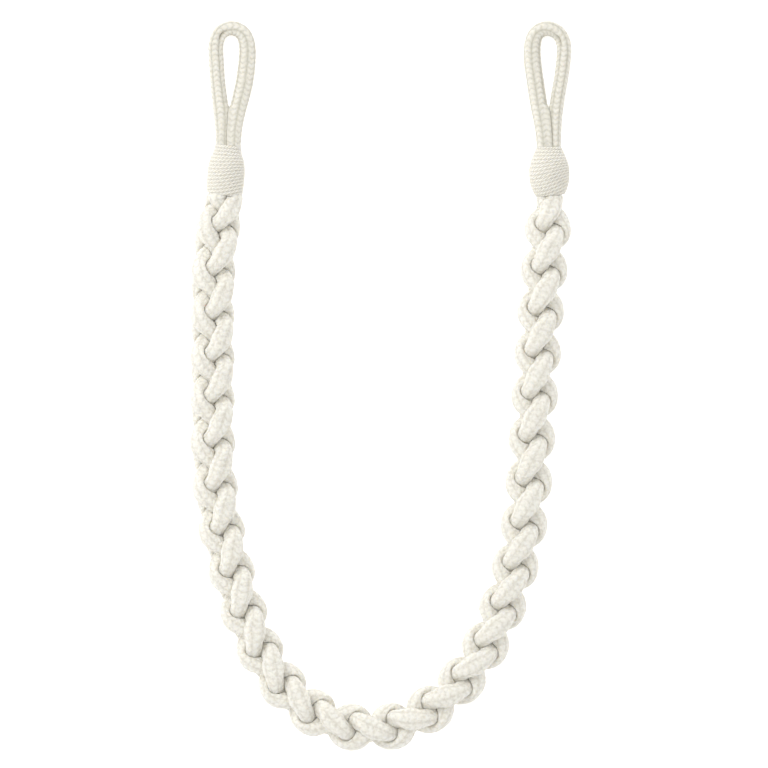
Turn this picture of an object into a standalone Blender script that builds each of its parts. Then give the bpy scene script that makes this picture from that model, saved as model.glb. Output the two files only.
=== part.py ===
"""Rope curtain tieback: a round braid of four cords lying in a U, with a cord loop bound on at each end.

It lies on the plane Z = 0, with X across it, Y towards the loops and Z up. Lengths are in metres and
angles in degrees. The braid's axis is followed by the number of front crossings counted from the left.
"""

import math
from collections import namedtuple

import bmesh
import bpy
import numpy as np
from mathutils import Vector

MM = 0.001
GAP = 0.3 * MM
UP = Vector((0.0, 0.0, 1.0))

# The middle of the outline in the plan's own coordinates, which is put at the origin.
PLAN_MIDDLE = Vector((-0.22, 0.36, 0.0)) * MM

# The braid's axis, seen from above. The roll turns the braid about it, towards the inside of the U.
# Columns: crossing, x in mm, y in mm, roll in degrees.
AXIS = (
    (-0.44, -76.6, 120.2, 38.0),
    (0.75, -78.4, 95.0, 38.0),
    (1.5, -81.5, 79.2, 38.0),
    (3.5, -84.3, 35.4, 38.0),
    (5.5, -84.3, -6.4, 35.0),
    (7.5, -83.0, -50.3, 28.0),
    (9.5, -74.7, -92.7, 20.0),
    (11.5, -60.5, -131.8, 13.0),
    (13.5, -33.8, -162.8, 10.0),
    (15.5, 5.4, -169.7, 6.0),
    (17.5, 40.2, -146.8, 1.0),
    (19.5, 60.6, -110.2, -5.0),
    (21.5, 71.2, -69.3, -4.0),
    (23.5, 75.2, -26.1, -5.0),
    (25.5, 78.1, 16.5, -7.0),
    (27.5, 81.3, 58.0, -9.0),
    (29.25, 84.1, 94.6, -8.0),
    (30.42, 83.7, 119.2, -8.0),
)

# The four cords of the braid: two swing over its front and back, two round its left and right.
Strand = namedtuple("Strand", "name rides_front shift")
STRANDS = (
    Strand("strand_a", True, 0),
    Strand("strand_b", True, 1),
    Strand("strand_c", False, 0),
    Strand("strand_d", False, 1),
)

# Each cord swings between an outer and an inner pass. Half sizes are its width and thickness there.
OUTER_RADIUS = 8.7 * MM
FRONT_INNER_RADIUS = 3.6 * MM
SIDE_INNER_RADIUS = 3.0 * MM
FRONT_CROWN = 0.095
SIDE_CROWN = -0.04
OUTER_HALF = (5.6 * MM, 3.1 * MM)
INNER_HALF = (3.8 * MM, 4.1 * MM)
SECTION_LEAN = 0.4
SECTION_POWER = 2.2
SIDES = 8
RINGS_PER_CROSSING = 7

# Neighbouring cords press each other flat. This is what their centre lines leave between them: for
# the two that cross inside the braid, for one that passes beneath another, and for one that passes
# beside it, where they cross more steeply than their faces can follow.
Ring = namedtuple("Ring", "centre points pressed")
BETWEEN_INSIDE = 1.0 * MM
BETWEEN_BENEATH = 0.8 * MM
BETWEEN_BESIDE = 1.3 * MM
LINE_STEPS = 42
NEAR_STEPS = 34

# Where a cord touches the surface it is pressed flat by this much.
PRESSED = 0.55 * MM

# The ends, where the braid is drawn together under its binding. A tilt leans the binding to +X.
# Spread and depth are how much of its width and of its thickness the braid keeps there, squeeze is
# how much of its size each cord keeps. Each barrel's columns: along in mm, radius in mm.
End = namedtuple("End", "name crossing travel tilt spread depth squeeze cord_half run barrel")
ENDS = (
    End(
        "left", 0.75, 1.0, 4.1, 0.86, 0.84, 0.77, 3.4 * MM, 0.7,
        ((0.0, 8.4), (3.3, 9.2), (9.3, 9.55), (14.8, 9.3), (17.8, 8.7), (20.8, 7.6), (25.2, 6.5)),
    ),
    End(
        "right", 29.25, -1.0, -0.9, 0.54, 0.6, 0.65, 2.65 * MM, 0.8,
        ((0.0, 7.0), (2.0, 8.2), (4.75, 9.3), (10.3, 10.25), (15.3, 10.0), (19.8, 8.5), (24.6, 6.4)),
    ),
)
END_RISE = 0.9
END_ROUND = 0.17
END_STRAIGHT = 0.3
TURN_PITCH = 1.68 * MM
TURN_DEPTH = 0.3 * MM
BARREL_STEPS = 24
BARREL_FLAT = 0.45 * MM

# The loops: the cord's centre and half sizes, from one leg's foot round the tip to the other's foot.
# Columns in mm: x, y, height, half width, half thickness.
LOOPS = (
    (
        (-79.75, 120.6, 9.0, 3.0, 4.3),
        (-79.9, 127.0, 8.8, 3.05, 4.25),
        (-80.4, 137.0, 7.9, 3.6, 4.0),
        (-81.7, 151.0, 5.6, 3.75, 3.9),
        (-82.7, 164.5, 4.0, 3.8, 3.9),
        (-82.5, 172.5, 3.6, 3.75, 3.85),
        (-80.0, 177.4, 3.55, 3.65, 3.85),
        (-75.0, 179.3, 3.55, 3.6, 3.85),
        (-69.8, 177.2, 3.55, 3.75, 3.85),
        (-67.2, 171.5, 3.6, 4.0, 3.85),
        (-67.0, 164.5, 4.0, 4.2, 3.9),
        (-68.6, 151.0, 5.8, 4.3, 4.0),
        (-71.2, 138.5, 8.2, 3.7, 4.2),
        (-72.9, 128.0, 9.3, 3.3, 4.4),
        (-73.3, 120.2, 9.5, 3.05, 4.45),
    ),
    (
        (80.75, 119.8, 10.3, 2.95, 4.45),
        (80.3, 128.0, 9.9, 3.4, 4.3),
        (78.7, 139.0, 8.2, 3.9, 4.1),
        (76.8, 153.2, 5.8, 4.25, 4.0),
        (75.5, 164.5, 4.0, 4.3, 3.9),
        (75.7, 171.5, 3.6, 4.1, 3.85),
        (78.2, 177.2, 3.55, 3.8, 3.85),
        (83.3, 179.1, 3.55, 3.75, 3.85),
        (88.4, 177.0, 3.55, 3.7, 3.85),
        (91.1, 172.0, 3.6, 3.7, 3.85),
        (91.3, 164.5, 4.0, 3.7, 3.9),
        (89.8, 153.2, 5.8, 3.6, 3.9),
        (87.9, 140.0, 7.6, 3.3, 4.0),
        (87.1, 128.0, 9.2, 2.95, 4.2),
        (86.9, 119.7, 9.7, 2.8, 4.3),
    ),
)
LOOP_RINGS = 46
LOOP_SQUARING = 6.0 * MM

CORD_COLOUR = (0.80, 0.775, 0.70, 1.0)
TWINE_COLOUR = (0.77, 0.74, 0.65, 1.0)


def clear_scene():
    for old in list(bpy.data.objects):
        bpy.data.objects.remove(old, do_unlink=True)


def new_collection(name):
    collection = bpy.data.collections.new(name)
    bpy.context.scene.collection.children.link(collection)
    return collection


def cotton(name, colour, roughness):
    """Undyed cotton: a plain matt surface."""
    material = bpy.data.materials.new(name)
    material.use_nodes = True
    shader = material.node_tree.nodes["Principled BSDF"]
    shader.inputs["Base Color"].default_value = colour
    shader.inputs["Roughness"].default_value = roughness
    shader.inputs["Metallic"].default_value = 0.0
    return material


def spline(knots, rows):
    """A natural cubic curve through the rows, as a function of the knots' variable."""
    knots = np.asarray(knots, float)
    rows = np.asarray(rows, float)
    count = len(knots)
    step = np.diff(knots)
    slope = np.diff(rows, axis=0) / step[:, None]
    system = np.eye(count)
    bends = np.zeros_like(rows)
    for i in range(1, count - 1):
        system[i, i - 1 : i + 2] = step[i - 1], 2.0 * (step[i - 1] + step[i]), step[i]
        bends[i] = 6.0 * (slope[i] - slope[i - 1])
    bends = np.linalg.solve(system, bends)

    def at(place):
        i = int(np.clip(np.searchsorted(knots, place) - 1, 0, count - 2))
        low = place - knots[i]
        high = knots[i + 1] - place
        curved = (bends[i] * high**3 + bends[i + 1] * low**3) / (6.0 * step[i])
        start = rows[i] / step[i] - bends[i] * step[i] / 6.0
        finish = rows[i + 1] / step[i] - bends[i + 1] * step[i] / 6.0
        return curved + start * high + finish * low

    return at


def ease(t):
    """From 0 to 1, level at both ends."""
    t = min(max(t, 0.0), 1.0)
    return t * t * (3.0 - 2.0 * t)


def mix(first, second, share):
    return first + (second - first) * share


def tangent(curve, place, reach):
    return (curve(place + reach) - curve(place - reach)).normalized()


def room_share(centre, reach, neighbours):
    """How much of a reach from a cord's centre lies nearer to it than to its neighbours' centre lines."""
    lines, between = neighbours
    offset = lines - np.array(centre)
    room = (offset**2).sum(axis=1) - between**2
    facing = 2.0 * (between * reach.length + offset @ np.array(reach))
    return min(1.0, (room[facing > 0.0] / facing[facing > 0.0]).min(initial=1.0))


def section(centre, across, through, half_width, half_thickness, neighbours=None):
    """One ring of a cord: rounded, pressed flat against its neighbours and against the surface."""
    points = []
    pressed = []
    for i in range(SIDES):
        angle = 2.0 * math.pi * (i + 0.5) / SIDES
        cosine = math.cos(angle)
        sine = math.sin(angle)
        a = half_width * math.copysign(abs(cosine) ** (2.0 / SECTION_POWER), cosine)
        b = half_thickness * math.copysign(abs(sine) ** (2.0 / SECTION_POWER), sine)
        reach = across * a + through * b
        share = 1.0 if neighbours is None else room_share(centre, reach, neighbours)
        point = centre + reach * share
        point.z = max(point.z, 0.0)
        points.append(point)
        pressed.append(share < 1.0)
    return Ring(centre, points, pressed)


def halves_of(corners, middle, hollow):
    """A four-cornered face as two triangles, folded inwards where a neighbour presses, or else outwards."""
    a, b, c, d = corners
    first = ((a.co + c.co) * 0.5 - middle).length
    second = ((b.co + d.co) * 0.5 - middle).length
    if (first < second) == hollow:
        return (a, b, c), (a, c, d)
    return (a, b, d), (b, c, d)


def cord_object(name, rings, collection, parent):
    """A closed solid through the rings, with a flat end at each side."""
    mesh = bpy.data.meshes.new(name)
    work = bmesh.new()
    rows = [[work.verts.new(point) for point in ring.points] for ring in rings]
    for k in range(len(rings) - 1):
        row, following = rows[k : k + 2]
        here, beyond = rings[k : k + 2]
        middle = (here.centre + beyond.centre) * 0.5
        for i in range(SIDES):
            j = (i + 1) % SIDES
            hollow = here.pressed[i] or here.pressed[j] or beyond.pressed[i] or beyond.pressed[j]
            for triangle in halves_of((row[i], row[j], following[j], following[i]), middle, hollow):
                work.faces.new(triangle)
    work.faces.new(rows[0])
    work.faces.new(rows[-1])
    bmesh.ops.recalc_face_normals(work, faces=work.faces)
    work.to_mesh(mesh)
    work.free()
    mesh.shade_smooth()
    mesh.set_sharp_from_angle(angle=math.radians(60.0))
    mesh.materials.append(cotton(name + "_cotton", CORD_COLOUR, 0.9))
    cord = bpy.data.objects.new(name, mesh)
    cord.parent = parent
    collection.objects.link(cord)
    return cord


braid_plan = spline([row[0] for row in AXIS], [row[1:] for row in AXIS])


def nearest_end(crossing):
    end = ENDS[0] if crossing < 0.5 * (ENDS[0].crossing + ENDS[1].crossing) else ENDS[1]
    return end, (crossing - end.crossing) * end.travel


def binding_direction(end):
    """Along the binding, from the braid towards the loop."""
    tilt = math.radians(end.tilt)
    return Vector((math.sin(tilt), math.cos(tilt), 0.0))


def binding_height(end):
    return max(radius for along, radius in end.barrel) * MM - BARREL_FLAT


def resting_height(roll):
    """How high the braid's axis lies when the braid, rolled by this angle, rests on the surface."""
    turn = math.radians(roll)
    width, thickness = OUTER_HALF
    reach = math.hypot(thickness * math.cos(turn), width * math.sin(turn))
    return OUTER_RADIUS * math.cos(turn) + reach - PRESSED


def axis_centre(crossing):
    x, y, roll = braid_plan(crossing)
    end, away = nearest_end(crossing)
    height = mix(binding_height(end), resting_height(roll), ease(away / END_RISE))
    return Vector((x * MM, y * MM, height))


def axis_frame(crossing):
    """The braid's axis at a crossing: its centre, and its sideways, outward and forward directions."""
    end, away = nearest_end(crossing)
    forward = tangent(axis_centre, crossing, 0.02)
    square = binding_direction(end) * -end.travel
    forward = forward.lerp(square, 1.0 - ease(away / END_RISE)).normalized()
    left = UP.cross(forward).normalized()
    upward = forward.cross(left)
    roll = math.radians(braid_plan(crossing)[2])
    sideways = left * math.cos(roll) - upward * math.sin(roll)
    outward = upward * math.cos(roll) + left * math.sin(roll)
    return axis_centre(crossing), sideways, outward, forward


def freedom(crossing):
    """How far the braid has run free of its binding, from 0 to 1."""
    end, away = nearest_end(crossing)
    return end, ease(away / end.run)


def strand_turn(strand, crossing):
    """A strand's place in its swing, which slows where it runs straight into the binding."""
    end, away = nearest_end(crossing)
    if away < END_STRAIGHT:
        share = max(away, 0.0) / END_STRAIGHT
        crossing = end.crossing + end.travel * END_STRAIGHT * share**2 * (2.0 - share)
    return math.pi * (crossing + strand.shift)


def strand_centre(strand, crossing):
    centre, sideways, outward, _ = axis_frame(crossing)
    end, freed = freedom(crossing)
    turn = strand_turn(strand, crossing)
    if strand.rides_front:
        across = -FRONT_INNER_RADIUS * math.sin(turn)
        above = (1.0 + FRONT_CROWN) * math.cos(turn) - FRONT_CROWN * math.cos(3.0 * turn)
        above *= OUTER_RADIUS
    else:
        crown = mix(FRONT_CROWN, SIDE_CROWN, freed)
        across = (1.0 + crown) * math.sin(turn) + crown * math.sin(3.0 * turn)
        across *= OUTER_RADIUS
        above = SIDE_INNER_RADIUS * math.cos(turn)
    across *= mix(end.spread, 1.0, freed)
    above *= mix(end.depth, 1.0, freed)
    return centre + sideways * across + outward * above


def strand_ring(strand, crossing, neighbours):
    _, sideways, outward, forward = axis_frame(crossing)
    end, freed = freedom(crossing)
    squeeze = mix(end.squeeze, 1.0, freed)
    roundness = 1.0 - ease(nearest_end(crossing)[1] / END_ROUND)
    turn = strand_turn(strand, crossing)
    heading = tangent(lambda place: strand_centre(strand, place), crossing, 0.002)
    heading = heading.lerp(forward, roundness).normalized()
    if strand.rides_front:
        pass_share = math.cos(turn) ** 2
        through = outward * math.cos(turn) - sideways * (SECTION_LEAN * math.sin(turn))
    else:
        pass_share = math.sin(turn) ** 2
        through = outward * (SECTION_LEAN * math.cos(turn)) + sideways * math.sin(turn)
    through = (through - heading * through.dot(heading)).normalized()
    halves = [
        mix(mix(inner, outer, pass_share) * squeeze, end.cord_half, roundness)
        for outer, inner in zip(OUTER_HALF, INNER_HALF)
    ]
    return section(
        strand_centre(strand, crossing), heading.cross(through), through, *halves, neighbours
    )


def neighbours_of(strand, lines, near):
    """The other cords' centre points near this place, and what is kept clear of each."""
    stretch = slice(max(near - NEAR_STEPS, 0), near + NEAR_STEPS + 1)
    points = []
    between = []
    for other in STRANDS:
        if other is strand:
            continue
        if other.rides_front == strand.rides_front:
            clear = BETWEEN_INSIDE
        elif other.shift == strand.shift:
            clear = BETWEEN_BENEATH
        else:
            clear = BETWEEN_BESIDE
        points.append(lines[other][stretch])
        between.append(np.full(len(points[-1]), clear))
    return np.concatenate(points), np.concatenate(between)


def build_strands(collection, parent):
    first, last = ENDS[0].crossing, ENDS[1].crossing
    lines = {}
    for strand in STRANDS:
        steps = range(round((last - first) * LINE_STEPS) + 1)
        lines[strand] = np.array([strand_centre(strand, first + i / LINE_STEPS) for i in steps])
    ring_count = round((last - first) * RINGS_PER_CROSSING)
    for strand in STRANDS:
        rings = []
        for i in range(ring_count + 1):
            crossing = first + (last - first) * i / ring_count
            near = round((crossing - first) * LINE_STEPS)
            rings.append(strand_ring(strand, crossing, neighbours_of(strand, lines, near)))
        cord_object(strand.name, rings, collection, parent)


def build_loop(end, table, collection, parent):
    """A teardrop of cord whose two feet stand square on the binding's upper face."""
    points = [Vector(row[:3]) for row in table]
    travelled = np.cumsum([0.0] + [(b - a).length for a, b in zip(points, points[1:])])
    plan = spline(travelled, table)
    binding_axis = binding_direction(end)
    length = travelled[-1]
    face = axis_centre(end.crossing) + binding_axis * (2.0 * GAP + end.barrel[-1][0] * MM)

    def loop_centre(place):
        return Vector(plan(place)[:3]) * MM

    rings = []
    for i in range(LOOP_RINGS):
        place = length * i / (LOOP_RINGS - 1)
        centre = loop_centre(place)
        towards_tip = binding_axis * (1.0 if place < 0.5 * length else -1.0)
        squareness = 1.0 - ease(min(place, length - place) * MM / LOOP_SQUARING)
        heading = tangent(loop_centre, place, 0.05).lerp(towards_tip, squareness).normalized()
        if i in (0, LOOP_RINGS - 1):
            centre += binding_axis * (face - centre).dot(binding_axis)
        across = heading.cross(UP).normalized()
        half_width, half_thickness = plan(place)[3:] * MM
        rings.append(section(centre, across, across.cross(heading), half_width, half_thickness))
    cord_object("loop_" + end.name, rings, collection, parent)


def barrel_profile(end):
    """Half the barrel's outline, top to bottom: a ridge for each turn of twine."""
    swell = spline([row[0] for row in end.barrel], [row[1:] for row in end.barrel])
    length = end.barrel[-1][0] * MM
    turns = round(length / TURN_PITCH)
    outline = [(0.0, length)]
    for i in range(2 * turns, -1, -1):
        along = length * i / (2 * turns)
        depth = TURN_DEPTH if i % 2 == 0 else 0.0
        outline.append((swell(along / MM)[0] * MM - depth, along))
    outline.append((0.0, 0.0))
    return outline


def build_binding(end, floor, collection, parent):
    """A barrel of wound twine, turned about its axis and flat where it rests on the surface."""
    mesh = bpy.data.meshes.new("binding_" + end.name)
    outline = [(radius, 0.0, along) for radius, along in barrel_profile(end)]
    mesh.from_pydata(outline, [(i, i + 1) for i in range(len(outline) - 1)], [])
    mesh.materials.append(cotton("twine_" + end.name, TWINE_COLOUR, 0.85))
    binding = bpy.data.objects.new("binding_" + end.name, mesh)
    direction = binding_direction(end)
    binding.location = axis_centre(end.crossing) + direction * GAP
    binding.rotation_euler = direction.to_track_quat("Z", "Y").to_euler()
    binding.parent = parent
    collection.objects.link(binding)

    turned = binding.modifiers.new("Turned", "SCREW")
    turned.steps = BARREL_STEPS
    turned.render_steps = BARREL_STEPS
    turned.use_merge_vertices = True
    turned.merge_threshold = 0.00005
    turned.use_smooth_shade = True

    flat = binding.modifiers.new("Flat underside", "BOOLEAN")
    flat.operation = "DIFFERENCE"
    flat.solver = "EXACT"
    flat.object = floor
    return binding


def floor_cutter(collection):
    """A slab whose top is the surface that the tieback lies on."""
    size = 0.5
    bpy.ops.mesh.primitive_cube_add(size=size, location=(0.0, 0.0, -0.5 * size))
    slab = bpy.context.object
    slab.name = "surface_cutter"
    for old in list(slab.users_collection):
        old.objects.unlink(slab)
    collection.objects.link(slab)
    slab.hide_render = True
    slab.display_type = "WIRE"
    return slab


def build_tieback():
    clear_scene()
    pieces = new_collection("rope_curtain_tieback")
    cutters = new_collection("cutters")
    tieback = bpy.data.objects.new("rope_curtain_tieback", None)
    tieback.location = -PLAN_MIDDLE
    pieces.objects.link(tieback)
    floor = floor_cutter(cutters)
    build_strands(pieces, tieback)
    for end, table in zip(ENDS, LOOPS):
        build_binding(end, floor, pieces, tieback)
        build_loop(end, table, pieces, tieback)


build_tieback()
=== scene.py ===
from collections import namedtuple

import bpy
import numpy as np
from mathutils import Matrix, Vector


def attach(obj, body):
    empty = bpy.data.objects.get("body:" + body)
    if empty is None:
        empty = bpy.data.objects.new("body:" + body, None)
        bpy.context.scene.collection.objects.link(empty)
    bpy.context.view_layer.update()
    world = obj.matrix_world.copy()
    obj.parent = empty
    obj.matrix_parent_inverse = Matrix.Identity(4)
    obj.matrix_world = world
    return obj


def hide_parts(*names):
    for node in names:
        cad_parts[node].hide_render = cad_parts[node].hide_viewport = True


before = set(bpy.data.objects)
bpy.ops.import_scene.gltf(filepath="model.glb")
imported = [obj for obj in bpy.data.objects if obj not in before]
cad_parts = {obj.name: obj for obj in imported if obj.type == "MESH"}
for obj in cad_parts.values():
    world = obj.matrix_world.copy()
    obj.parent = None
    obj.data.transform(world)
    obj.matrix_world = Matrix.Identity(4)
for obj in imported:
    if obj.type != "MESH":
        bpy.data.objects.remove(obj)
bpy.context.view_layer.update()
MM = 0.001

# The camera looks straight down on the tieback, which lies flat in a U on a pale surface. A very
# long lens keeps the braid's sides upright, and the frame is as wide as the photograph's.
FRAME_WIDTH = 384.0 * MM
FRAME_CENTRE = Vector((1.6, 0.9, 6.0)) * MM
LENS = 400.0
SENSOR = 36.0

lens = bpy.data.cameras.new("overhead_lens")
lens.lens = LENS
lens.sensor_width = SENSOR
camera = bpy.data.objects.new("overhead_camera", lens)
camera.location = FRAME_CENTRE + Vector((0.0, 0.0, FRAME_WIDTH * LENS / SENSOR))
bpy.context.scene.collection.objects.link(camera)
bpy.context.scene.camera = camera


# The braid is four soft cords, each a knitted cotton sleeve about 8 mm thick. Two of them swing over
# the front and back of the braid and two round its sides, and where they meet they press each other
# flat. It lies in a U under its own weight, flattened a little where it touches the surface.
BRAID_MIDDLE = np.array((-0.22, 0.36, 0.0)) * MM
# Columns: crossing, x in mm, y in mm, roll in degrees.
BRAID_ROUTE = (
    (-0.44, -76.6, 120.2, 38.0),
    (0.75, -78.4, 95.0, 38.0),
    (1.5, -81.5, 79.2, 38.0),
    (3.5, -84.3, 35.4, 38.0),
    (5.5, -84.3, -6.4, 35.0),
    (7.5, -83.0, -50.3, 28.0),
    (9.5, -74.7, -92.7, 20.0),
    (11.5, -60.5, -131.8, 13.0),
    (13.5, -33.8, -162.8, 10.0),
    (15.5, 5.4, -169.7, 6.0),
    (17.5, 40.2, -146.8, 1.0),
    (19.5, 60.6, -110.2, -5.0),
    (21.5, 71.2, -69.3, -4.0),
    (23.5, 75.2, -26.1, -5.0),
    (25.5, 78.1, 16.5, -7.0),
    (27.5, 81.3, 58.0, -9.0),
    (29.25, 84.1, 94.6, -8.0),
    (30.42, 83.7, 119.2, -8.0),
)
BRAID_ENDS = (0.75, 29.25)
BINDING_TILT = (4.1, -0.9)
BINDING_LIFT = (9.1 * MM, 9.8 * MM)
END_SPREAD = (0.86, 0.54)
END_DEPTH = (0.84, 0.6)
END_SQUEEZE = (0.77, 0.8)
END_CORD_HALF = (3.4 * MM, 2.65 * MM)
END_RUN = (0.7, 0.8)
END_RISE = 0.9
END_ROUND = 0.17
END_STRAIGHT = 0.3
# How much fuller a cord is at its binding, mostly on its side towards the braid's middle, over how
# many crossings that fades, and how much fuller that side stays all along. It fills the hollows
# between the cords, and most of what would reach into a neighbour is pressed back.
END_SWELL = 2.6 * MM
END_SWELL_RUN = 0.6
INWARD_SWELL = 1.3 * MM

OUTER_RADIUS = 8.7 * MM
FRONT_INNER_RADIUS = 3.6 * MM
SIDE_INNER_RADIUS = 3.0 * MM
FRONT_CROWN = 0.095
SIDE_CROWN = -0.04
# Half the width and half the thickness of a cord at its outer pass, at its inner pass, what it has
# more of midway, and half of each where the braid rests on the surface.
OUTER_HALF = (5.5 * MM, 3.0 * MM)
INNER_HALF = (3.6 * MM, 4.0 * MM)
MIDWAY_HALF = (-0.4 * MM, 0.4 * MM)
RESTING_HALF = (5.6 * MM, 3.1 * MM)
SECTION_LEAN = 0.4
SECTION_POWER = 2.2
CORD_BETWEEN = 0.03 * MM
FLOOR_SQUASH = 0.55 * MM

CORD_SIDES = 48
RINGS_PER_CROSSING = 60
NEIGHBOUR_STEPS = 32
NEIGHBOUR_WINDOW = 24
AXIS_REACH = 0.02
CORD_REACH = 0.002
TINY = 1e-9
CORD_TUCK = 0.12
TUCK_NARROWING = 4.0
STITCH_COLUMNS = 6
STITCH_PITCH = 2.7 * MM
STITCH_SLANT = 0.5
# How narrow the grooves beside and between the stitches are, how much height a stitch keeps in the
# groove before the next, and the height that counts as the sleeve's own surface.
COLUMN_SHARPNESS = 0.3
STITCH_SHARPNESS = 0.6
STITCH_KEPT = 0.3
STITCH_MIDDLE = 0.65
BRAID_STITCH_DEPTH = 0.38 * MM
BRAID_GROOVES = 0.45
# The braid is painted lighter than the loops, though it is the same cord: painted light that offsets the
# shade between its cords.
BRAID_LIGHTENED_COLOUR = (0.885, 0.865, 0.795)
# Painted shade in the grooves between the braid's stitches.
BRAID_PAINTED_GROOVE_SHADE = (0.71, 0.68, 0.60)
BRAID_CORDS = (("a", True, 0), ("b", True, 1), ("c", False, 0), ("d", False, 1))


def smooth_curve(knots, rows):
    """A natural cubic curve through the rows, as a function of an array of places."""
    knots = np.asarray(knots, float)
    rows = np.asarray(rows, float)
    step = np.diff(knots)
    slope = np.diff(rows, axis=0) / step[:, None]
    system = np.eye(len(knots))
    bends = np.zeros_like(rows)
    for i in range(1, len(knots) - 1):
        system[i, i - 1 : i + 2] = step[i - 1], 2.0 * (step[i - 1] + step[i]), step[i]
        bends[i] = 6.0 * (slope[i] - slope[i - 1])
    bends = np.linalg.solve(system, bends)

    def at(places):
        i = np.clip(np.searchsorted(knots, places) - 1, 0, len(step) - 1)
        low = (places - knots[i])[:, None]
        high = (knots[i + 1] - places)[:, None]
        wide = step[i][:, None]
        curved = (bends[i] * high**3 + bends[i + 1] * low**3) / (6.0 * wide)
        start = rows[i] / wide - bends[i] * wide / 6.0
        finish = rows[i + 1] / wide - bends[i + 1] * wide / 6.0
        return curved + start * high + finish * low

    return at


def ease(share):
    share = np.clip(share, 0.0, 1.0)
    return share * share * (3.0 - 2.0 * share)


def unit(vectors):
    return vectors / np.linalg.norm(vectors, axis=-1, keepdims=True)


def column(values):
    return np.asarray(values)[:, None]


def along_line(curve, places, reach):
    return unit(curve(places + reach) - curve(places - reach))


braid_plan = smooth_curve([row[0] for row in BRAID_ROUTE], [row[1:] for row in BRAID_ROUTE])


def at_end(crossing, left_and_right):
    left, right = left_and_right
    return np.where(crossing < 0.5 * sum(BRAID_ENDS), left, right)


def into_braid(crossing):
    """How many crossings this place is from the nearer binding."""
    return np.minimum(crossing - BRAID_ENDS[0], BRAID_ENDS[1] - crossing)


def binding_direction(tilt):
    """Along a binding, from the braid towards its loop."""
    tilt = np.radians(tilt)
    return np.stack([np.sin(tilt), np.cos(tilt), np.zeros_like(tilt)], axis=-1)


def braid_axis(crossing):
    plan = braid_plan(crossing)
    roll = np.radians(plan[:, 2])
    reach = np.hypot(RESTING_HALF[1] * np.cos(roll), RESTING_HALF[0] * np.sin(roll))
    resting = OUTER_RADIUS * np.cos(roll) + reach - FLOOR_SQUASH
    settled = ease(into_braid(crossing) / END_RISE)
    lift = at_end(crossing, BINDING_LIFT)
    height = lift + (resting - lift) * settled
    return np.column_stack([plan[:, :2] * MM, height]) - BRAID_MIDDLE


def braid_frame(crossing):
    """The braid's axis with its sideways, outward and forward directions."""
    settled = column(ease(into_braid(crossing) / END_RISE))
    forward = along_line(braid_axis, crossing, AXIS_REACH)
    travel = column(at_end(crossing, (1.0, -1.0)))
    square = -travel * binding_direction(at_end(crossing, BINDING_TILT))
    forward = unit(square + (forward - square) * settled)
    left = unit(np.cross((0.0, 0.0, 1.0), forward))
    upward = np.cross(forward, left)
    roll = column(np.radians(braid_plan(crossing)[:, 2]))
    sideways = left * np.cos(roll) - upward * np.sin(roll)
    outward = upward * np.cos(roll) + left * np.sin(roll)
    return braid_axis(crossing), sideways, outward, forward


def swing(crossing, shift):
    """A cord's place in its swing, which slows where it runs straight into the binding."""
    away = into_braid(crossing)
    share = np.clip(away / END_STRAIGHT, 0.0, 1.0)
    slowed = END_STRAIGHT * share**2 * (2.0 - share)
    nearest = at_end(crossing, BRAID_ENDS)
    travel = at_end(crossing, (1.0, -1.0))
    return np.pi * (np.where(away < END_STRAIGHT, nearest + travel * slowed, crossing) + shift)


def drawn_together(crossing, at_binding):
    """A share that grows to 1 as the braid runs free of its binding. Inside the binding it shrinks."""
    away = into_braid(crossing)
    share = at_end(crossing, at_binding)
    freed = ease(away / at_end(crossing, END_RUN))
    return (share + (1.0 - share) * freed) * (1.0 + TUCK_NARROWING * np.minimum(away, 0.0))


def cord_line(crossing, rides_front, shift):
    centre, sideways, outward, _ = braid_frame(crossing)
    turn = column(swing(crossing, shift))
    if rides_front:
        across = -FRONT_INNER_RADIUS * np.sin(turn)
        above = (1.0 + FRONT_CROWN) * np.cos(turn) - FRONT_CROWN * np.cos(3.0 * turn)
        above *= OUTER_RADIUS
    else:
        freed = column(ease(into_braid(crossing) / at_end(crossing, END_RUN)))
        crown = FRONT_CROWN + (SIDE_CROWN - FRONT_CROWN) * freed
        across = (1.0 + crown) * np.sin(turn) + crown * np.sin(3.0 * turn)
        across *= OUTER_RADIUS
        above = SIDE_INNER_RADIUS * np.cos(turn)
    across *= column(drawn_together(crossing, END_SPREAD))
    above *= column(drawn_together(crossing, END_DEPTH))
    return centre + sideways * across + outward * above


def cord_frame(crossing, rides_front, shift):
    """The cord's centre line, the directions of its width and thickness, and half of each."""
    _, sideways, outward, forward = braid_frame(crossing)
    squeeze = drawn_together(crossing, END_SQUEEZE)
    roundness = 1.0 - ease(into_braid(crossing) / END_ROUND)
    turn = swing(crossing, shift)
    heading = along_line(
        lambda places: cord_line(places, rides_front, shift), crossing, CORD_REACH
    )
    heading = unit(heading + (forward - heading) * column(roundness))
    if rides_front:
        outer = np.cos(turn) ** 2
        through = outward * column(np.cos(turn)) - sideways * column(SECTION_LEAN * np.sin(turn))
    else:
        outer = np.sin(turn) ** 2
        through = outward * column(SECTION_LEAN * np.cos(turn)) + sideways * column(np.sin(turn))
    through = unit(through - heading * column((through * heading).sum(axis=1)))
    midway = np.sin(2.0 * turn) ** 2
    halves = []
    for outer_half, inner_half, more in zip(OUTER_HALF, INNER_HALF, MIDWAY_HALF):
        half = (inner_half + (outer_half - inner_half) * outer + more * midway) * squeeze
        halves.append(half + (at_end(crossing, END_CORD_HALF) - half) * roundness)
    return cord_line(crossing, rides_front, shift), np.cross(heading, through), through, halves


def lengthwise_turn(across, through):
    """How far the section's directions turn round the cord, which the sleeve's columns don't follow."""
    turning = (np.diff(across, axis=0) * 0.5 * (through[1:] + through[:-1])).sum(axis=1)
    return -np.concatenate([[0.0], np.cumsum(turning)])


def travelled(line):
    steps = np.linalg.norm(np.diff(line, axis=0), axis=1)
    return np.concatenate([[0.0], np.cumsum(steps)])


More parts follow.
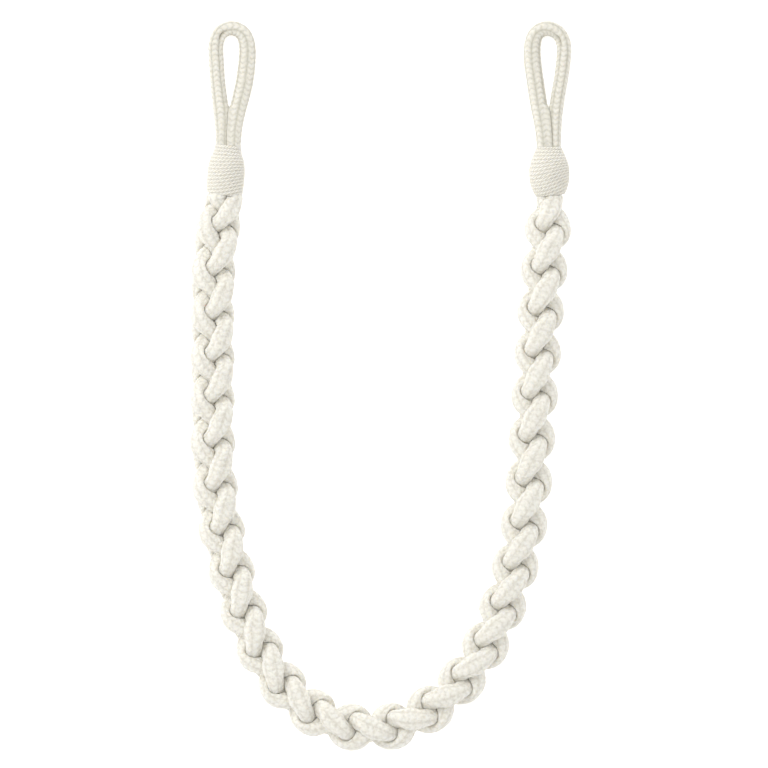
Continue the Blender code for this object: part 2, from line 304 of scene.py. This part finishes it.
def cord_section(across, through, halves, angle):
    """Directions and distances from the centre line to the skin, a little squarer than an ellipse."""
    wide = column(halves[0]) * np.sign(np.cos(angle)) * np.abs(np.cos(angle)) ** (2.0 / SECTION_POWER)
    thick = column(halves[1]) * np.sign(np.sin(angle)) * np.abs(np.sin(angle)) ** (2.0 / SECTION_POWER)
    arm = across[:, None] * wide[..., None] + through[:, None] * thick[..., None]
    reach = np.linalg.norm(arm, axis=2)
    return arm / reach[..., None], reach


def stitch_map(along):
    """The sleeve's lengthwise columns and, along them, its V-shaped stitches, at each point."""
    columns = STITCH_COLUMNS * np.arange(CORD_SIDES + 1) / CORD_SIDES
    arms = np.abs(2.0 * (columns % 1.0) - 1.0)
    stitches = column(along / STITCH_PITCH) + STITCH_SLANT * arms
    return np.broadcast_to(columns, stitches.shape), stitches


def stitch_relief(columns, stitches, depth, grooves):
    """Rounded stitches, with this share of a full groove between the columns."""
    beside = np.abs(np.sin(np.pi * columns[:, :-1])) ** COLUMN_SHARPNESS
    beside = 1.0 - grooves * (1.0 - beside)
    onward = np.abs(np.cos(np.pi * stitches[:, :-1])) ** STITCH_SHARPNESS
    return depth * (beside * (STITCH_KEPT + (1.0 - STITCH_KEPT) * onward) - STITCH_MIDDLE)


def pressed_reach(centre, direction, reach, neighbours, between):
    """Each reach cut short where it would come nearer to a neighbour's centre line than to its own."""
    limit = reach.copy()
    for i, clear in enumerate(np.broadcast_to(between, len(centre))):
        offset = neighbours[i] - centre[i]
        room = (offset**2).sum(axis=1) - clear**2
        facing = 2.0 * (clear + direction[i] @ offset.T)
        share = np.where(facing > TINY, room / np.maximum(facing, TINY), np.inf)
        limit[i] = np.minimum(limit[i], share.min(axis=1))
    return limit


def yarn_mesh(name, points, yarn):
    """A closed skin through the rings of points. Its UV map counts the yarn's columns and stitches.

    The faces point outward where the rings' points run clockwise, seen along the way ahead, as on the
    bindings. The cords' rings run the other way, so the cords' faces point inward.
    """
    rings, sides = points.shape[:2]
    start = sides * column(np.arange(rings - 1))
    side = np.arange(sides)
    onward = (side + 1) % sides
    quads = np.stack([start + side, start + onward, start + sides + onward, start + sides + side], -1)
    last = (rings - 1) * sides
    caps = [side[::-1].tolist(), (last + side).tolist()]
    mesh = bpy.data.meshes.new(name)
    mesh.from_pydata(points.reshape(-1, 3), [], quads.reshape(-1, 4).tolist() + caps)
    corners = [np.stack([at[:-1, :-1], at[:-1, 1:], at[1:, 1:], at[1:, :-1]], -1) for at in yarn]
    places = np.concatenate([np.stack(corners, -1).reshape(-1, 2), np.zeros((2 * sides, 2))])
    mesh.uv_layers.new(name="yarn").data.foreach_set("uv", places.astype(np.float32).ravel())
    mesh.shade_smooth()
    return mesh


def math_node(tree, operation, *inputs):
    """A sum on numbers and other nodes' outputs."""
    node = tree.nodes.new("ShaderNodeMath")
    node.operation = operation
    for socket, value in zip(node.inputs, inputs):
        if isinstance(value, float):
            socket.default_value = value
        else:
            tree.links.new(value, socket)
    return node.outputs["Value"]


def cotton_yarn(name, colour, groove_shade_colour, mottling, fuzz):
    """Undyed cotton: matt, with a soft sheen and fine fibres, mottled, with painted shade between the
    stitches.
    """
    material = bpy.data.materials.new(name)
    material.use_nodes = True
    tree = material.node_tree
    shader = tree.nodes["Principled BSDF"]
    shader.inputs["Roughness"].default_value = 0.9
    shader.inputs["Sheen Weight"].default_value = 0.2
    shader.inputs["Sheen Roughness"].default_value = 0.6
    shader.inputs["Subsurface Weight"].default_value = 0.4
    shader.inputs["Subsurface Radius"].default_value = (1.0, 0.9, 0.7)
    shader.inputs["Subsurface Scale"].default_value = 2.0 * MM
    place = tree.nodes.new("ShaderNodeTexCoord")
    yarn = tree.nodes.new("ShaderNodeSeparateXYZ")
    tree.links.new(place.outputs["UV"], yarn.inputs["Vector"])
    beside = math_node(tree, "SINE", math_node(tree, "MULTIPLY", yarn.outputs["X"], np.pi))
    onward = math_node(tree, "COSINE", math_node(tree, "MULTIPLY", yarn.outputs["Y"], np.pi))
    beside = math_node(tree, "POWER", math_node(tree, "ABSOLUTE", beside), 0.5)
    onward = math_node(tree, "POWER", math_node(tree, "ABSOLUTE", onward), 0.7)
    # High on the stitches and low between them, where the ramp below paints shade.
    stitch = math_node(tree, "MULTIPLY", beside, math_node(tree, "MULTIPLY_ADD", onward, 0.6, 0.4))

    mottle = tree.nodes.new("ShaderNodeTexNoise")
    mottle.inputs["Scale"].default_value = 700.0
    mottle.inputs["Detail"].default_value = 3.0
    tree.links.new(place.outputs["Object"], mottle.inputs["Vector"])
    mottled = math_node(tree, "MULTIPLY_ADD", mottle.outputs["Fac"], mottling, -0.5 * mottling)
    # The ramp paints shade in the grooves between the stitches, with random mottling on top.
    mottle_and_groove_shade = tree.nodes.new("ShaderNodeValToRGB")
    mottle_and_groove_shade.color_ramp.elements[0].color = groove_shade_colour + (1.0,)
    mottle_and_groove_shade.color_ramp.elements[1].color = colour + (1.0,)
    tree.links.new(math_node(tree, "ADD", stitch, mottled), mottle_and_groove_shade.inputs["Fac"])
    tree.links.new(mottle_and_groove_shade.outputs["Color"], shader.inputs["Base Color"])

    fibres = tree.nodes.new("ShaderNodeTexNoise")
    fibres.inputs["Scale"].default_value = 900.0
    fibres.inputs["Detail"].default_value = 4.0
    tree.links.new(place.outputs["Object"], fibres.inputs["Vector"])
    bump = tree.nodes.new("ShaderNodeBump")
    bump.inputs["Strength"].default_value = 0.8
    bump.inputs["Distance"].default_value = fuzz
    tree.links.new(fibres.outputs["Fac"], bump.inputs["Height"])
    tree.links.new(bump.outputs["Normal"], shader.inputs["Normal"])
    return material


def add_piece(name, mesh, finish, node):
    mesh.materials.append(finish)
    piece = bpy.data.objects.new(name, mesh)
    bpy.context.scene.collection.objects.link(piece)
    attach(piece, "root")
    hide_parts(node)
    return piece


braid_finish = cotton_yarn("braid_sleeve", BRAID_LIGHTENED_COLOUR, BRAID_PAINTED_GROOVE_SHADE, 2.4, 1.0 * MM)
braid_length = BRAID_ENDS[1] - BRAID_ENDS[0]
ring_places = np.linspace(
    BRAID_ENDS[0] - CORD_TUCK, BRAID_ENDS[1] + CORD_TUCK, round(braid_length * RINGS_PER_CROSSING) + 1
)
line_places = np.linspace(*BRAID_ENDS, round(braid_length * NEIGHBOUR_STEPS) + 1)
nearest = np.round((ring_places - BRAID_ENDS[0]) * NEIGHBOUR_STEPS).astype(int)
window = column(nearest) + np.arange(-NEIGHBOUR_WINDOW, NEIGHBOUR_WINDOW + 1)
window = np.clip(window, 0, len(line_places) - 1)

for letter, rides_front, shift in BRAID_CORDS:
    centre, across, through, halves = cord_frame(ring_places, rides_front, shift)
    turned = column(lengthwise_turn(across, through))
    angle = 2.0 * np.pi * np.arange(CORD_SIDES) / CORD_SIDES + turned
    direction, reach = cord_section(across, through, halves, angle)
    yarn = stitch_map(travelled(centre))
    reach += stitch_relief(*yarn, BRAID_STITCH_DEPTH, BRAID_GROOVES)
    inward = np.einsum("ijk,ik->ij", direction, unit(braid_axis(ring_places) - centre))
    swollen = END_SWELL * (1.0 - ease(into_braid(ring_places) / END_SWELL_RUN))
    reach += column(swollen) * (0.5 + 0.5 * inward) + INWARD_SWELL * np.maximum(inward, 0.0)
    others = [
        cord_line(line_places, front, other)[window]
        for name, front, other in BRAID_CORDS
        if name != letter
    ]
    reach = pressed_reach(centre, direction, reach, np.concatenate(others, axis=1), CORD_BETWEEN)
    points = centre[:, None] + direction * reach[..., None]
    points[..., 2] = np.maximum(points[..., 2], 0.0)
    name = "braid_cord_" + letter
    sleeve = yarn_mesh(name, points, yarn)
    strand = add_piece(name, sleeve, braid_finish, "strand_" + letter)


# Each end has a loop of the same cord, bent into a teardrop that goes over a wall hook. Its two legs
# lie side by side and go down into the binding, where they are hidden. The sleeve is creased where
# the cord bends most sharply.
# Near its feet a loop's centre line lies up to 0.65 mm from that of the solid it replaces.
# Columns in mm: x, y, height, half width, half thickness.
LEFT_LOOP = (
    (-79.7, 120.6, 9.0, 3.05, 4.3),
    (-79.7, 127.0, 8.8, 3.25, 4.25),
    (-80.15, 137.0, 7.9, 3.85, 4.0),
    (-81.7, 151.0, 5.6, 3.75, 3.9),
    (-82.7, 164.5, 4.0, 3.8, 3.9),
    (-82.5, 172.5, 3.6, 3.75, 3.85),
    (-80.0, 177.4, 3.55, 3.65, 3.85),
    (-75.0, 179.3, 3.55, 3.6, 3.85),
    (-69.8, 177.2, 3.55, 3.75, 3.85),
    (-67.2, 171.5, 3.6, 4.0, 3.85),
    (-67.0, 164.5, 4.0, 4.2, 3.9),
    (-68.6, 151.0, 5.8, 4.3, 4.0),
    (-71.5, 138.5, 8.2, 4.0, 4.2),
    (-73.15, 128.0, 9.3, 3.55, 4.4),
    (-73.5, 120.2, 9.5, 3.25, 4.45),
)
RIGHT_LOOP = (
    (81.4, 119.8, 10.3, 3.6, 4.45),
    (80.6, 128.0, 9.9, 3.7, 4.3),
    (78.95, 139.0, 8.2, 4.15, 4.1),
    (76.8, 153.2, 5.8, 4.25, 4.0),
    (75.5, 164.5, 4.0, 4.3, 3.9),
    (75.7, 171.5, 3.6, 4.1, 3.85),
    (78.2, 177.2, 3.55, 3.8, 3.85),
    (83.3, 179.1, 3.55, 3.75, 3.85),
    (88.4, 177.0, 3.55, 3.7, 3.85),
    (91.1, 172.0, 3.6, 3.7, 3.85),
    (91.3, 164.5, 4.0, 3.7, 3.9),
    (89.8, 153.2, 5.8, 3.6, 3.9),
    (87.7, 140.0, 7.6, 3.5, 4.0),
    (87.1, 128.0, 9.2, 2.95, 4.2),
    (87.2, 119.7, 9.7, 2.5, 4.3),
)
# Each loop: side, cord, which way its binding leans, how far its first leg laps over the second,
# where round the cord a groove lies at both feet, how far along it is creased, and which way from
# there the crease runs on down the leg.
Loop = namedtuple("Loop", "side table tilt lap grooves crease onward")
LOOPS = (
    Loop("left", LEFT_LOOP, BINDING_TILT[0], -0.15 * MM, (62.0, 93.0), 58.0 * MM, -1.0),
    Loop("right", RIGHT_LOOP, BINDING_TILT[1], 0.5 * MM, (94.0, 56.0), 75.5 * MM, 1.0),
)
LOOP_RING_STEP = 0.4 * MM
LOOP_REACH = 0.05 * MM
LOOP_SQUARING = 6.0 * MM
LOOP_STITCH_DEPTH = 0.45 * MM
LOOP_TUCK = 1.5 * MM
# How far the legs swell towards each other, up to which gap they do so in full, over how much more
# gap that fades, how far from its foot a leg may swell as a share of the whole cord, how high the
# swelling comes as a share of the leg's half thickness, and how steep a direction counts at least.
LEG_FILL = 3.0 * MM
LEG_TOUCHING = 0.2 * MM
LEG_PARTING = 1.2 * MM
LEG_SHARE = 0.3
LEG_CREST = 0.93
LEVEL = 0.05
LEG_WINDOW = 12
# The grooves between the stitches are shallower at the feet. Between these shares of the cord the
# sleeve turns from one foot's groove to the other's.
FOOT_GROOVES = 0.4
FOOT_LENGTH = 24.0 * MM
GROOVE_TURNS = (0.42, 0.58)
CREASE_DEPTH = 2.8 * MM
CREASE_LENGTH = 3.2 * MM
CREASE_WIDTH = np.radians(20.0)
LEG_CREASE = 0.2
LEG_CREASE_LENGTH = 45.0 * MM
LOOP_COLOUR = (0.80, 0.775, 0.70)
# Painted shade in the grooves between the loops' stitches.
LOOP_PAINTED_GROOVE_SHADE = (0.55, 0.53, 0.44)


def legs_together(centre, halves, direction, reach, lap):
    """The two legs swell towards each other near the binding and press flat where they touch."""
    other = centre[::-1]
    apart = np.linalg.norm(other - centre, axis=1)
    gap = apart - halves[0] - halves[0][::-1]
    from_foot = np.minimum(np.arange(len(centre)), np.arange(len(centre))[::-1]) / len(centre)
    near = (1.0 - ease((gap - LEG_TOUCHING) / LEG_PARTING)) * (from_foot < LEG_SHARE)
    towards = np.einsum("ijk,ik->ij", direction, unit(other - centre + TINY))
    filled = reach + LEG_FILL * column(near) * np.sqrt(np.maximum(towards, 0.0))
    crest = column(LEG_CREST * halves[1]) / np.maximum(np.abs(direction[..., 2]), LEVEL)
    reach = np.minimum(filled, np.maximum(reach, crest))
    legs = np.flatnonzero(near > 0.0)
    window = column(len(centre) - 1 - legs) + np.arange(-LEG_WINDOW, LEG_WINDOW + 1)
    neighbours = centre[np.clip(window, 0, len(centre) - 1)]
    clear = CORD_BETWEEN - 2.0 * lap * np.where(legs < len(centre) / 2, 1.0, -1.0)
    reach[legs] = pressed_reach(centre[legs], direction[legs], reach[legs], neighbours, clear)
    return reach


loop_finish = cotton_yarn("loop_sleeve", LOOP_COLOUR, LOOP_PAINTED_GROOVE_SHADE, 1.0, 0.6 * MM)

for loop in LOOPS:
    table = np.array(loop.table) * MM
    table[:, :3] -= BRAID_MIDDLE
    up_binding = binding_direction(loop.tilt)
    table[[0, -1], :3] -= up_binding * LOOP_TUCK
    knots = travelled(table[:, :3])
    loop_plan = smooth_curve(knots, table)
    ring_places = np.linspace(0.0, knots[-1], round(knots[-1] / LOOP_RING_STEP) + 1)
    centre = loop_plan(ring_places)[:, :3]
    heading = along_line(lambda places: loop_plan(places)[:, :3], ring_places, LOOP_REACH)
    towards_tip = up_binding * column(np.where(ring_places < 0.5 * knots[-1], 1.0, -1.0))
    from_foot = np.minimum(ring_places, knots[-1] - ring_places)
    heading = unit(heading + (towards_tip - heading) * column(1.0 - ease(from_foot / LOOP_SQUARING)))
    across = unit(np.cross(heading, (0.0, 0.0, 1.0)))
    through = np.cross(across, heading)
    halves = loop_plan(ring_places)[:, 3:].T
    turned = ease((ring_places / knots[-1] - GROOVE_TURNS[0]) / (GROOVE_TURNS[1] - GROOVE_TURNS[0]))
    groove = np.radians(loop.grooves[0] + (loop.grooves[1] - loop.grooves[0]) * turned)
    round_cord = (2.0 * np.pi * np.arange(CORD_SIDES) / CORD_SIDES + np.pi) % (2.0 * np.pi) - np.pi
    angle = column(groove) + round_cord
    direction, reach = cord_section(across, through, halves, angle)
    yarn = stitch_map(travelled(centre))
    grooves = FOOT_GROOVES + (1.0 - FOOT_GROOVES) * ease(from_foot / FOOT_LENGTH)
    reach += stitch_relief(*yarn, LOOP_STITCH_DEPTH, column(grooves))
    down_leg = (ring_places - loop.crease) * loop.onward
    creased = np.exp(-((down_leg / CREASE_LENGTH) ** 2))
    leg_creased = LEG_CREASE * (1.0 - ease(down_leg / LEG_CREASE_LENGTH)) * (down_leg > 0.0)
    creased = column(np.maximum(creased, leg_creased))
    reach -= CREASE_DEPTH * creased * np.exp(-((round_cord / CREASE_WIDTH) ** 2))
    reach = legs_together(centre, halves, direction, reach, loop.lap)
    points = centre[:, None] + direction * reach[..., None]
    points[..., 2] = np.maximum(points[..., 2], 0.0)
    name = "cord_loop_" + loop.side
    sleeve = yarn_mesh(name, points, yarn)
    piece = add_piece(name, sleeve, loop_finish, "loop_" + loop.side)


# A binding of thin two-ply cotton twine is wound in about fifteen close turns round the four cord
# ends and the two legs of the loop, and hides them. It swells to a barrel over the cut ends, and its
# lower turns slant up to the right.
# Columns in mm: along the binding from the braid, radius.
LEFT_BARREL = ((0.0, 8.9), (3.3, 9.3), (9.3, 9.55), (14.8, 9.3), (17.8, 8.7), (20.8, 7.6), (25.2, 6.5))
RIGHT_BARREL = ((0.0, 7.0), (2.0, 8.2), (4.75, 9.3), (10.3, 10.25), (15.3, 10.0), (19.8, 8.5), (24.6, 6.4))
# Each binding: side, barrel, how steeply its turns slant, how far its lower edge rises on each side.
Binding = namedtuple("Binding", "side barrel slant left_rise right_rise")
BINDINGS = (
    Binding("left", LEFT_BARREL, 0.34, 1.5 * MM, 0.0),
    Binding("right", RIGHT_BARREL, 0.5, 0.0, 1.2 * MM),
)
LEFT_RISE_POWER = 4
RIGHT_RISE_POWER = 2
TURN_PITCH = 1.68 * MM
TURN_DEPTH = 0.36 * MM
TURN_ROUNDING = 0.94
SLANT_SKEW = 0.3
SLANT_FADE = 0.3
PLIES_PER_TURN = 26
PLY_SLANT = 0.6
PLY_OFFSET = 0.37
PLY_SHARPNESS = 0.7
PLY_DEPTH = 0.5 * MM
BARREL_ROUND = 256
BARREL_ROWS = 150
BINDING_GAP = 0.3 * MM
TWINE_COLOUR = (0.83, 0.805, 0.73)
# Painted shade in the hollows between the twine's turns and plies.
TWINE_PAINTED_GROOVE_SHADE = (0.60, 0.57, 0.49)

twine_finish = cotton_yarn("cotton_twine", TWINE_COLOUR, TWINE_PAINTED_GROOVE_SHADE, 0.8, 0.2 * MM)

for end, binding in enumerate(BINDINGS):
    swell = smooth_curve([row[0] * MM for row in binding.barrel], [row[1:] for row in binding.barrel])
    direction = binding_direction(BINDING_TILT[end])
    beside = np.cross(direction, (0.0, 0.0, 1.0))
    foot = braid_axis(np.array([BRAID_ENDS[end]]))[0] + direction * BINDING_GAP
    length = binding.barrel[-1][0] * MM
    angle = np.linspace(-np.pi, np.pi, BARREL_ROUND + 1)
    rightward = np.sin(angle)
    edge = binding.left_rise * (0.5 - 0.5 * rightward) ** LEFT_RISE_POWER
    edge += binding.right_rise * (0.5 + 0.5 * rightward) ** RIGHT_RISE_POWER
    along = edge + (length - edge) * column(np.linspace(0.0, 1.0, BARREL_ROWS))
    radius = swell(along.ravel()).reshape(along.shape) * MM
    slant = binding.slant * (1.0 - ease((1.0 + SLANT_FADE) * along / length - SLANT_FADE))
    risen = slant * radius * ((1.0 - SLANT_SKEW) * rightward + SLANT_SKEW * rightward**2)
    turns = (along - risen) / TURN_PITCH + angle / (2.0 * np.pi)
    in_turn = 2.0 * (turns % 1.0) - 1.0
    plies = PLIES_PER_TURN * angle / (2.0 * np.pi)
    plies = plies - PLY_SLANT * in_turn + PLY_OFFSET * np.floor(turns)
    radius += TURN_DEPTH * (np.sqrt(1.0 - TURN_ROUNDING * in_turn**2) - 1.0)
    radius += PLY_DEPTH * (np.abs(np.cos(np.pi * plies)) ** PLY_SHARPNESS - 1.0)
    spoke = beside * column(np.sin(angle)) + np.array((0.0, 0.0, 1.0)) * column(np.cos(angle))
    points = foot + direction * along[..., None] + spoke * radius[..., None]
    points[..., 2] = np.maximum(points[..., 2], 0.0)
    name = "twine_binding_" + binding.side
    wound = yarn_mesh(name, points[:, :-1], (turns, plies))
    add_piece(name, wound, twine_finish, "binding_" + binding.side)


# The tieback lies on a pale matt surface under a broad soft light from the upper left and an even
# pale room, as for a catalogue picture. The surface also glows faintly, painted light that washes
# out the tieback's shadow on it.
surface_mesh = bpy.data.meshes.new("pale_surface")
surface_mesh.from_pydata([(-3, -3, 0), (3, -3, 0), (3, 3, 0), (-3, 3, 0)], [], [(0, 1, 2, 3)])
surface = bpy.data.objects.new("pale_surface", surface_mesh)
surface.location.z = -0.1 * MM
glowing_surface_finish = bpy.data.materials.new("pale_surface")
glowing_surface_finish.use_nodes = True
surface_shader = glowing_surface_finish.node_tree.nodes["Principled BSDF"]
surface_shader.inputs["Base Color"].default_value = (0.93, 0.93, 0.93, 1.0)
surface_shader.inputs["Roughness"].default_value = 1.0
# The glow is painted light: it fills in the tieback's shadow on the surface and lights the cords from
# below.
surface_shader.inputs["Emission Color"].default_value = (1.0, 1.0, 1.0, 1.0)
surface_shader.inputs["Emission Strength"].default_value = 0.45
surface_mesh.materials.append(glowing_surface_finish)
bpy.context.scene.collection.objects.link(surface)

softbox = bpy.data.lights.new("softbox", "AREA")
softbox.size = 1.2
softbox.energy = 18.0
softbox_holder = bpy.data.objects.new("softbox", softbox)
softbox_holder.location = (-1.1, 1.1, 1.6)
softbox_holder.rotation_euler = (-softbox_holder.location).to_track_quat("-Z", "Y").to_euler()
bpy.context.scene.collection.objects.link(softbox_holder)

room = bpy.data.worlds.new("pale_room")
room.use_nodes = True
room.node_tree.nodes["Background"].inputs["Color"].default_value = (1.0, 1.0, 1.0, 1.0)
room.node_tree.nodes["Background"].inputs["Strength"].default_value = 0.88
bpy.context.scene.world = room
bpy.context.scene.view_settings.view_transform = "Standard"
